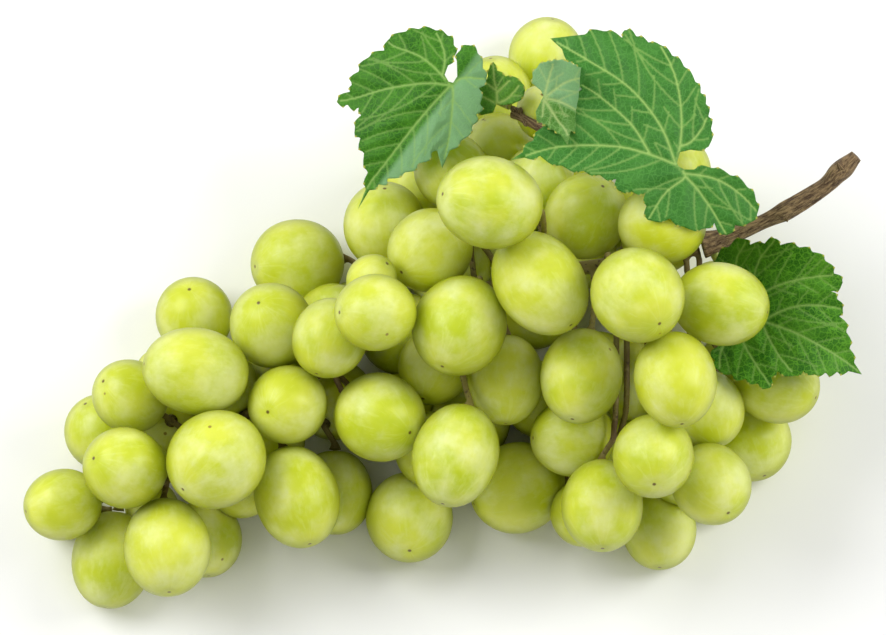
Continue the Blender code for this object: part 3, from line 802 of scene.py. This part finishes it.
def blade_places(outline, veins):
    """The outline's corners, the veins and a grid of places between them, and their triangles."""
    rim = []
    for start, end in zip(outline, outline[1:] + outline[:1]):
        start, end = np.array(start), np.array(end)
        count = max(1, round(float(np.linalg.norm(end - start)) / LEAF_GRID))
        rim += [start + (end - start) * i / count for i in range(count)]
    low, high = np.min(rim, axis=0), np.max(rim, axis=0)
    rows = np.arange(low[1], high[1], LEAF_GRID * 0.866)
    grid = [
        (x + (LEAF_GRID / 2 if i % 2 else 0), y)
        for i, y in enumerate(rows)
        for x in np.arange(low[0], high[0], LEAF_GRID)
    ]
    grid = np.array(grid)
    rim_list = [tuple(point) for point in rim]
    grid = grid[inside_outline(grid, rim_list)]
    closed = rim_list + rim_list[:1]
    grid = grid[line_distance(grid, closed)[0] > 0.45 * LEAF_GRID]
    corners = [Vector(point) for point in rim_list]
    ribs = []
    for vein in veins:
        vein = np.array(vein)
        grid = grid[line_distance(grid, list(vein))[0] > 0.4 * LEAF_GRID]
        inner = inside_outline(vein, rim_list) & (line_distance(vein, closed)[0] > 0.4)
        numbers = np.nonzero(inner)[0]
        ribs += [
            (len(corners) + i, len(corners) + i + 1)
            for i in range(len(numbers) - 1)
            if numbers[i + 1] == numbers[i] + 1
        ]
        corners += [Vector(vein[i]) for i in numbers]
    corners += [Vector(point) for point in grid]
    loops = [list(range(len(rim_list)))]
    verts, _, faces, *_ = delaunay_2d_cdt(corners, ribs, loops, 1, 1e-5)
    return np.array([vertex[:] for vertex in verts]), faces


def vein_strength(places, lines, width, taper):
    """1 on a vein, falling to 0 beside it; veins get thinner outwards."""
    strength = np.zeros(len(places))
    for line in lines:
        gap, share = line_distance(places, line)
        strength = np.maximum(strength, np.exp(-((gap / (width * (1 - taper * share))) ** 2)))
    return strength


def painted_sheen_side(places, leaf):
    """1 on the half of the blade beside one vein that is painted paler and bluer, a painted sheen from the
    sky, 0 elsewhere.
    """
    if leaf["painted_sheen_side"] is None:
        return np.zeros(len(places))
    vein = leaf["veins"][leaf["painted_sheen_side"]]
    start, end = np.array(vein[0]), np.array(vein[-1])
    step = (end - start) / np.linalg.norm(end - start)
    between = places - start
    away = step[0] * between[:, 1] - step[1] * between[:, 0]
    return np.clip(away / 1.2, 0, 1)


def leaf_blade(name, leaf, draw):
    """The blade's mesh, the marks on its corners, and their places on the board."""
    outline, tips = toothed(leaf["edge"], *leaf["teeth"], draw)
    mains = [finer(line, VEIN_STEP) for line in leaf["veins"]]
    sides = side_veins(mains, outline)
    places, faces = blade_places(outline, mains + sides)
    main = vein_strength(places, mains, 0.34, 0.6)
    side = vein_strength(places, sides, 0.2, 0.5)
    to_vein = np.min([line_distance(places, line)[0] for line in mains + sides], axis=0)
    to_main = np.min([line_distance(places, line)[0] for line in mains], axis=0)
    swell = leaf["pucker"] * (1 - np.exp(-((to_main / 3.5) ** 2)))
    swell += 0.35 * leaf["pucker"] * (1 - np.exp(-((to_vein / 1.2) ** 2)))
    out = fit_blade(name, leaf["edge"])(places[:, 0], places[:, 1]) + swell
    out -= 0.12 * main
    tip = np.min([np.linalg.norm(places - np.array(point), axis=1) for point in tips], axis=0)
    marks = {"vein": np.maximum(main, 0.5 * side), "tooth": np.exp(-((tip / 0.55) ** 2))}
    # The "pale" mark carries the painted sheen on one half of the blade.
    marks["pale"] = painted_sheen_side(places, leaf)
    bm, kept = thick_sheet(places, out, faces)
    marks = {key: np.concatenate([values[kept], values[kept]]) for key, values in marks.items()}
    return bm, marks, np.concatenate([places[kept], places[kept]])


def thick_sheet(places, out, faces):
    """A closed sheet under the faces, and the numbers of the places that it uses."""
    bm = bmesh.new()
    upper = [bm.verts.new(from_board(x, y, o)) for (x, y), o in zip(places, out)]
    lower = [bm.verts.new(from_board(x, y, o - LEAF_THICKNESS)) for (x, y), o in zip(places, out)]
    for face in faces:
        bm.faces.new([upper[i] for i in face])
        bm.faces.new([lower[i] for i in reversed(face)])
    sides_of = {}
    for face in faces:
        for a, b in zip(face, list(face[1:]) + [face[0]]):
            sides_of.setdefault((min(a, b), max(a, b)), []).append((a, b))
    for uses in sides_of.values():
        if len(uses) == 1:
            a, b = uses[0]
            bm.faces.new((upper[b], upper[a], lower[a], lower[b]))
    loose = [vertex for vertex in bm.verts if not vertex.link_faces]
    kept = [i for i, vertex in enumerate(upper) if vertex.link_faces]
    bmesh.ops.delete(bm, geom=loose, context="VERTS")
    return bm, kept


def add_tube(bm, points, radii, sides, ridges=0.0):
    """A closed round tube through the points, which are Vectors in metres.

    The "bark" layer holds a place on the tube's skin for its material: round it, and along it.
    """
    bark = bm.verts.layers.float_vector.get("bark") or bm.verts.layers.float_vector.new("bark")
    far = 0.0
    tangents = [(b - a).normalized() for a, b in zip(points, points[1:])]
    inner = [(a + b).normalized() for a, b in zip(tangents, tangents[1:])]
    tangents = [tangents[0], *inner, tangents[-1]]
    across = tangents[0].orthogonal().normalized()
    rings = []
    for number, (point, tangent, radius) in enumerate(zip(points, tangents, radii)):
        far += (point - points[max(0, number - 1)]).length
        across = (across - tangent * across.dot(tangent)).normalized()
        other = tangent.cross(across)
        ring = []
        for k in range(sides):
            angle = 2 * math.pi * k / sides
            rough = math.sin(5 * angle + 0.11 * number) + 0.6 * math.sin(11 * angle - 0.07 * number)
            away = radius * (1 + ridges * rough)
            offset = across * math.cos(angle) + other * math.sin(angle)
            vertex = bm.verts.new(point + offset * away)
            vertex[bark] = (math.cos(angle), math.sin(angle), far / (10 * MM))
            ring.append(vertex)
        rings.append(ring)
    for ring, point, tangent in ((rings[0], points[0], -tangents[0]), (rings[-1], points[-1], tangents[-1])):
        cap = bm.verts.new(point + tangent * 0.15 * radii[0])
        cap[bark] = ring[0][bark]
        for k in range(sides):
            bm.faces.new((cap, ring[k], ring[(k + 1) % sides]))
    for low, high in zip(rings, rings[1:]):
        for k in range(sides):
            after = (k + 1) % sides
            bm.faces.new((low[k], low[after], high[after], high[k]))


def smooth_tube(points, radii, step):
    """The same way as rings of a CAD tube, but smooth, with evenly spaced points."""
    rows = [np.array((*point, radius)) for point, radius in zip(points, radii)]
    rows = finer(rows, step)
    return [Vector(row[:3]) for row in rows], [float(row[3]) for row in rows]


def leaf_material(name, tones):
    """Dark blade, pale main veins, a net of fine veins, a satin sheen and a paler back."""
    dark, mid, pale = tones
    material, tree, shader = new_material(name)
    sheet = add_node(tree, "Attribute", {"attribute_name": "sheet"}).outputs["Vector"]
    vein, tooth, turned = (
        add_node(tree, "Attribute", {"attribute_name": mark}).outputs["Fac"]
        for mark in ("vein", "tooth", "pale")
    )
    wobble = add_node(tree, "TexNoise", Vector=sheet, Scale=0.9, Detail=2.0).outputs["Color"]
    wobble = add_node(tree, "VectorMath", {"operation": "SCALE"}, i0=wobble, Scale=0.7).outputs[0]
    bent = add_node(tree, "VectorMath", {"operation": "ADD"}, i0=sheet, i1=wobble).outputs[0]
    net = add_node(tree, "TexVoronoi", {"feature": "DISTANCE_TO_EDGE"}, Vector=bent, Scale=0.75)
    fine = add_node(tree, "TexVoronoi", {"feature": "DISTANCE_TO_EDGE"}, Vector=bent, Scale=1.9)
    net_line = ramp(tree, net.outputs["Distance"], 0.10, 0.02)
    fine_line = ramp(tree, fine.outputs["Distance"], 0.13, 0.02)
    cloud = noise(tree, sheet, 0.16, 3.0)
    tint = mix_colour(tree, math_node(tree, "MULTIPLY", ramp(tree, cloud, 0.35, 0.72), 0.5), dark, mid)
    tint = mix_colour(tree, math_node(tree, "MULTIPLY", fine_line, 0.4), tint, mid)
    tint = mix_colour(tree, math_node(tree, "MULTIPLY", net_line, 0.8), tint, mid)
    # Painted sheen: one half of the blade is mixed towards a pale bluish green, as if it reflected the sky.
    tint = mix_colour(tree, math_node(tree, "MULTIPLY", turned, 0.7), tint, (0.29, 0.54, 0.27))
    tint = mix_colour(tree, math_node(tree, "MULTIPLY", vein, 0.85), tint, pale)
    tint = mix_colour(tree, ramp(tree, tooth, 0.25, 0.8), tint, (0.62, 0.58, 0.10))
    back = add_node(tree, "NewGeometry").outputs["Backfacing"]
    tint = mix_colour(tree, math_node(tree, "MULTIPLY", back, 0.5), tint, pale)
    shader.inputs["Roughness"].default_value = 0.5
    shader.inputs["IOR"].default_value = 1.33
    shader.inputs["Sheen Weight"].default_value = 0.04
    shader.inputs["Sheen Roughness"].default_value = 0.5
    height = math_node(tree, "SUBTRACT", math_node(tree, "MULTIPLY", fine_line, -0.4), net_line)
    set_surface(tree, shader, tint, 0.35, 0.2, height)
    through = add_node(tree, "BsdfTranslucent")
    tree.links.new(mix_colour(tree, 0.5, tint, (0.45, 0.62, 0.05)), through.inputs["Color"])
    both = add_node(tree, "MixShader", Fac=0.22)
    tree.links.new(shader.outputs[0], both.inputs[1])
    tree.links.new(through.outputs[0], both.inputs[2])
    tree.links.new(both.outputs[0], tree.nodes["Material Output"].inputs["Surface"])
    return material


def stalk_material():
    """Young green stalk that turns brown in streaks."""
    material, tree, shader = new_material("green_stalk")
    place = add_node(tree, "TexCoord").outputs["Object"]
    patch = noise(tree, place, 260.0, 4.0)
    tint = mix_colour(tree, ramp(tree, patch, 0.4, 0.7), (0.30, 0.36, 0.05), (0.30, 0.18, 0.05))
    shader.inputs["Roughness"].default_value = 0.55
    set_surface(tree, shader, tint, 0.3, 0.2, noise(tree, place, 900.0, 3.0))
    return material


def set_marks(mesh, marks, sheet):
    """Stores the blade's marks on its corners; the corners that come after it get none."""
    for key, values in marks.items():
        layer = mesh.attributes.new(key, "FLOAT", "POINT")
        full = np.zeros(len(mesh.vertices), dtype=np.float32)
        full[: len(values)] = values
        layer.data.foreach_set("value", full)
    layer = mesh.attributes.new("sheet", "FLOAT_VECTOR", "POINT")
    full = np.zeros((len(mesh.vertices), 3), dtype=np.float32)
    full[: len(sheet), :2] = sheet
    layer.data.foreach_set("vector", full.ravel())


def make_leaf(name, leaf, stalk_skin):
    draw = random.Random(len(leaf["edge"]))
    bm, marks, sheet = leaf_blade(name, leaf, draw)
    blade_faces = len(bm.faces)
    start = np.array(leaf["stalk_start"])
    middles, radii = trace_tube(name, lambda point: -np.linalg.norm(to_board(point)[:2] - start), 5)
    if len(middles) > 1:
        points, radii = smooth_tube(middles, radii, 0.7 * MM)
        add_tube(bm, points, radii, 14, 0.03)
    mesh = bpy.data.meshes.new(name + "_leaf")
    bm.to_mesh(mesh)
    bm.free()
    mesh.materials.append(leaf_material(name + "_blade", leaf["tones"]))
    mesh.materials.append(stalk_skin)
    for face in mesh.polygons:
        face.material_index = 0 if face.index < blade_faces else 1
    mesh.shade_smooth()
    set_marks(mesh, marks, sheet)
    place_piece(name + "_real", mesh, name)


stalk_skin = stalk_material()
for name, leaf in LEAVES.items():
    make_leaf(name, leaf, stalk_skin)


# --------------------------------------------------------------------------- cane, twig and stems


def bark_material():
    """Dark brown bark with ridges and paler streaks along the cane."""
    material, tree, shader = new_material("cane_bark")
    place = add_node(tree, "Attribute", {"attribute_name": "bark"}).outputs["Vector"]
    streak = noise(tree, place, 4.0, 6.0, 0.65)
    fine = noise(tree, place, 11.0, 5.0, 0.6)
    tint = mix_colour(tree, ramp(tree, streak, 0.36, 0.66), (0.055, 0.025, 0.009), (0.36, 0.24, 0.11))
    pale = math_node(tree, "MULTIPLY", ramp(tree, fine, 0.56, 0.72), 0.7)
    tint = mix_colour(tree, pale, tint, (0.48, 0.36, 0.18))
    shader.inputs["Roughness"].default_value = 0.72
    set_surface(tree, shader, tint, 0.8, 0.5, math_node(tree, "ADD", streak, fine))
    return material


def stem_material():
    """Fibrous green-brown fruit stem, greener in patches, with darker corky specks."""
    material, tree, shader = new_material("fruit_stem")
    place = add_node(tree, "TexCoord").outputs["Object"]
    patch = noise(tree, place, 70.0, 4.0)
    fibre = noise(tree, place, 420.0, 5.0, 0.65)
    tint = mix_colour(tree, ramp(tree, patch, 0.38, 0.66), (0.20, 0.17, 0.035), (0.12, 0.07, 0.022))
    tint = mix_colour(tree, ramp(tree, fibre, 0.5, 0.7), tint, (0.26, 0.20, 0.07))
    cork = math_node(tree, "MULTIPLY", ramp(tree, noise(tree, place, 900.0, 2.0), 0.62, 0.7), 0.8)
    tint = mix_colour(tree, cork, tint, (0.045, 0.022, 0.01))
    shader.inputs["Roughness"].default_value = 0.65
    set_surface(tree, shader, tint, 0.6, 0.4, fibre)
    return material


def bulge(points, radii, place, size, reach):
    """Thickens a tube round one place on it."""
    return [
        radius * (1 + size * math.exp(-(((point - place).length / reach) ** 2)))
        for point, radius in zip(points, radii)
    ]


def add_bud(bm, place, direction, length, width):
    """A small pointed bud."""
    points = [place + direction * (length * i / 6) for i in range(7)]
    radii = [width * math.sin(math.pi * (0.25 + 0.72 * i / 6)) + 0.02 * width for i in range(7)]
    add_tube(bm, points, radii, 10, 0.05)


def finish_wood(name, bm, material, node):
    bmesh.ops.recalc_face_normals(bm, faces=bm.faces)
    mesh = bpy.data.meshes.new(name)
    bm.to_mesh(mesh)
    bm.free()
    mesh.materials.append(material)
    mesh.shade_smooth()
    place_piece(name, mesh, node)


def make_cane(bark):
    middles, radii = trace_tube("cane", lambda point: point.x, 10)
    points, radii = smooth_tube(middles, radii, 0.5 * MM)
    radii = bulge(points, radii, points[8], 0.22, 3 * MM)
    radii = bulge(points, radii, points[len(points) // 2], 0.12, 2.5 * MM)
    radii = bulge(points, radii, points[-1], 0.35, 6 * MM)
    bm = bmesh.new()
    add_tube(bm, points, radii, 40, 0.035)
    node = points[9]
    add_bud(bm, node + OUT * 0.6 * radii[9], (OUT - ACROSS * 0.8 + UP).normalized(), 2.6 * MM, 0.9 * MM)
    node = points[len(points) // 2]
    low = (-UP + OUT * 0.5 + ACROSS * 0.3).normalized()
    add_bud(bm, node + low * 0.9 * MM, low, 2.0 * MM, 0.8 * MM)
    finish_wood("cane_real", bm, bark, "cane")


def make_twig(bark):
    middles, radii = trace_tube("leaf_twig", lambda point: -point.x, 5)
    points, radii = smooth_tube(middles, radii, 0.4 * MM)
    for share in (0.0, 0.28, 0.6, 1.0):
        radii = bulge(points, radii, points[int(share * (len(points) - 1))], 0.35, 1.4 * MM)
    bm = bmesh.new()
    add_tube(bm, points, radii, 22, 0.04)
    for number, (across, up) in ((1, (-0.4, 0.9)), (4, (0.3, 1.0)), (9, (0.2, -1.0)), (30, (0.5, 1.0))):
        direction = (ACROSS * across + UP * up + OUT * 0.8).normalized()
        add_bud(bm, points[number] + direction * 0.7 * MM, direction, 1.7 * MM, 0.75 * MM)
    finish_wood("leaf_twig_real", bm, bark, "leaf_twig")


def dress_bunch_stem(skin_of_stem):
    """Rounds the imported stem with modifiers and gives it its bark."""
    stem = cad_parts["bunch_stem"]
    remesh = stem.modifiers.new("Grown together", "REMESH")
    remesh.mode = "VOXEL"
    remesh.voxel_size = 0.4 * MM
    remesh.use_smooth_shade = True
    smooth = stem.modifiers.new("Round", "SMOOTH")
    smooth.factor = 0.5
    smooth.iterations = 4
    stem.data.materials.clear()
    stem.data.materials.append(skin_of_stem)


def make_extra_stalks(skin_of_stem):
    """Stalks from the added berries to the nearest stem."""
    bm = bmesh.new()
    for berry in slivers + inner:
        start = berry.centre - berry.axis * (berry.length - 0.5 * MM)
        nearest, _, _ = stem_tree.find(start)
        length = (nearest - start).length
        middle = start.lerp(nearest, 0.5) - berry.axis * 0.12 * length
        points = [start, start - berry.axis * 0.8 * MM, middle, nearest]
        points, radii = smooth_tube(points, [1.6 * MM, 1.1 * MM, 0.75 * MM, 0.8 * MM], 0.8 * MM)
        add_tube(bm, points, radii, 12, 0.03)
    finish_wood("stalks_of_added_grapes", bm, skin_of_stem, None)


bark = bark_material()
skin_of_stem = stem_material()
make_cane(bark)
make_twig(bark)
dress_bunch_stem(skin_of_stem)
make_extra_stalks(skin_of_stem)


# --------------------------------------------------------------------------- floor, light, camera


def make_floor():
    bpy.ops.mesh.primitive_plane_add(size=6.0, location=(0, 0, 0))
    floor = bpy.context.active_object
    floor.name = "floor"
    material, _, shader = new_material("floor_paper")
    shader.inputs["Base Color"].default_value = (0.9, 0.9, 0.9, 1.0)
    shader.inputs["Roughness"].default_value = 0.9
    floor.data.materials.append(material)


def make_light(name, place, aim, size, power, colour=(1, 1, 1)):
    light = bpy.data.lights.new(name, "AREA")
    light.shape = "RECTANGLE"
    light.size, light.size_y = size
    light.energy = power
    light.color = colour
    thing = bpy.data.objects.new(name, light)
    bpy.context.scene.collection.objects.link(thing)
    thing.location = place
    thing.rotation_euler = (Vector(aim) - Vector(place)).to_track_quat("-Z", "Y").to_euler()


def make_world():
    world = bpy.data.worlds.new("studio")
    world.use_nodes = True
    background = world.node_tree.nodes["Background"]
    background.inputs[0].default_value = (1.0, 1.0, 1.0, 1.0)
    background.inputs[1].default_value = 0.46
    bpy.context.scene.world = world


def make_camera():
    camera = bpy.data.cameras.new("camera")
    camera.lens = LENS
    camera.sensor_width = SENSOR
    thing = bpy.data.objects.new("camera", camera)
    bpy.context.scene.collection.objects.link(thing)
    thing.location = from_board(*VIEW_CENTRE) + OUT * (VIEW_WIDTH * MM * LENS / SENSOR)
    thing.rotation_euler = OUT.to_track_quat("Z", "Y").to_euler()
    camera.clip_start = 0.1
    camera.clip_end = 50.0
    bpy.context.scene.camera = thing


make_floor()
make_light("key", (-0.7, 0.3, 0.8), (0, 0, 0.03), (0.75, 0.75), 10.0)
make_light("side", (0.75, 0.15, 0.65), (0, 0, 0.03), (0.45, 0.6), 6.0)
make_world()
make_camera()
bpy.context.scene.view_settings.view_transform = "Standard"
